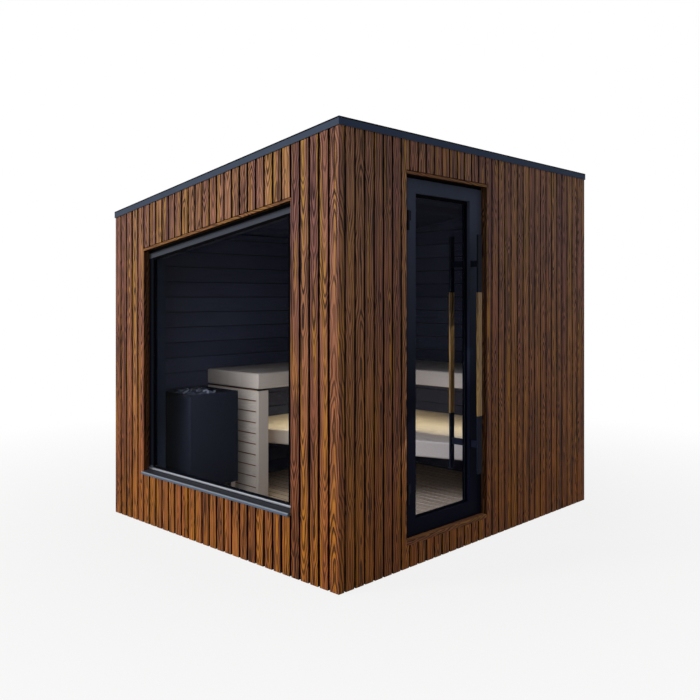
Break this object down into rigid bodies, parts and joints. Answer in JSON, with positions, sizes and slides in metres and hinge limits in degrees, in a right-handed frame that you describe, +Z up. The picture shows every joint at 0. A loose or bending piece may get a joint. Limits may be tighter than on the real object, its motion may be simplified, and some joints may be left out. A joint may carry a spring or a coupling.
{
  "type": "outdoor sauna cabin",
  "caption": "Outdoor sauna cabin with vertical wood battens, a mono-pitch roof, a tall fixed window, a hinged glass door, benches and a stone heater.",
  "frame": {"origin": "on the ground at the middle of the cladding's outline, on the middle bearer's underside", "axes": "+Z up; the window wall faces -Y and the door wall faces +X"},
  "size_m": [2.192, 2.555, 2.3687],
  "materials": {
    "treated_timber": "matte",
    "structural_board": "matte",
    "wall_lining": "matte",
    "cladding_wood": "satin",
    "bench_wood": "satin",
    "grip_wood": "satin",
    "roof_membrane": "matte",
    "dark_metal": "matte",
    "black_metal": "matte",
    "heater_metal": "matte",
    "foot_metal": "satin",
    "spacer_metal": "matte",
    "clear_glass": "polished",
    "light_strip": "matte",
    "stone": "rough"
  },
  "bodies": {
    "cabin": {"base_bearers": "treated_timber", "floor_deck": "structural_board", "floor_grate": "bench_wood", "front_wall_left": "wall_lining", "front_wall_right": "wall_lining", "front_wall_apron": "wall_lining", "front_wall_header": "wall_lining", "door_wall_front": "wall_lining", "door_wall_rear": "wall_lining", "door_wall_threshold": "wall_lining", "door_wall_header": "wall_lining", "left_wall": "wall_lining", "back_wall": "wall_lining", "front_cladding": "cladding_wood", "door_cladding": "cladding_wood", "left_cladding": "cladding_wood", "back_cladding": "cladding_wood", "roof_panel": "wall_lining", "roof_membrane": "roof_membrane", "roof_flashing": "dark_metal", "window_reveal": "cladding_wood", "window_frame": "dark_metal", "window_glass": "clear_glass", "window_spacer": "spacer_metal", "window_sill": "dark_metal", "door_reveal": "cladding_wood", "door_frame": "dark_metal", "hinge_fixed": "black_metal", "upper_bench_left": "bench_wood", "upper_bench_back": "bench_wood", "lower_bench": "bench_wood", "bench_ledgers": "bench_wood", "bench_lights": "light_strip", "bench_post": "bench_wood", "bench_end_panel": "bench_wood", "heater_body": "heater_metal", "heater_feet": "foot_metal", "heater_stones": "stone"},
    "door": {"door_leaf": "dark_metal", "door_glass": "clear_glass", "door_spacer": "spacer_metal", "hinge_moving": "black_metal", "handle_bars": "black_metal", "handle_grips": "grip_wood"}
  },
  "joints": [
    {"name": "door_hinge", "type": "hinge", "parent": "cabin", "child": "door", "pos_m": [1.052, -0.6975, 0], "axis": [0, 0, -1], "range_deg": [0, 110]}
  ]
}
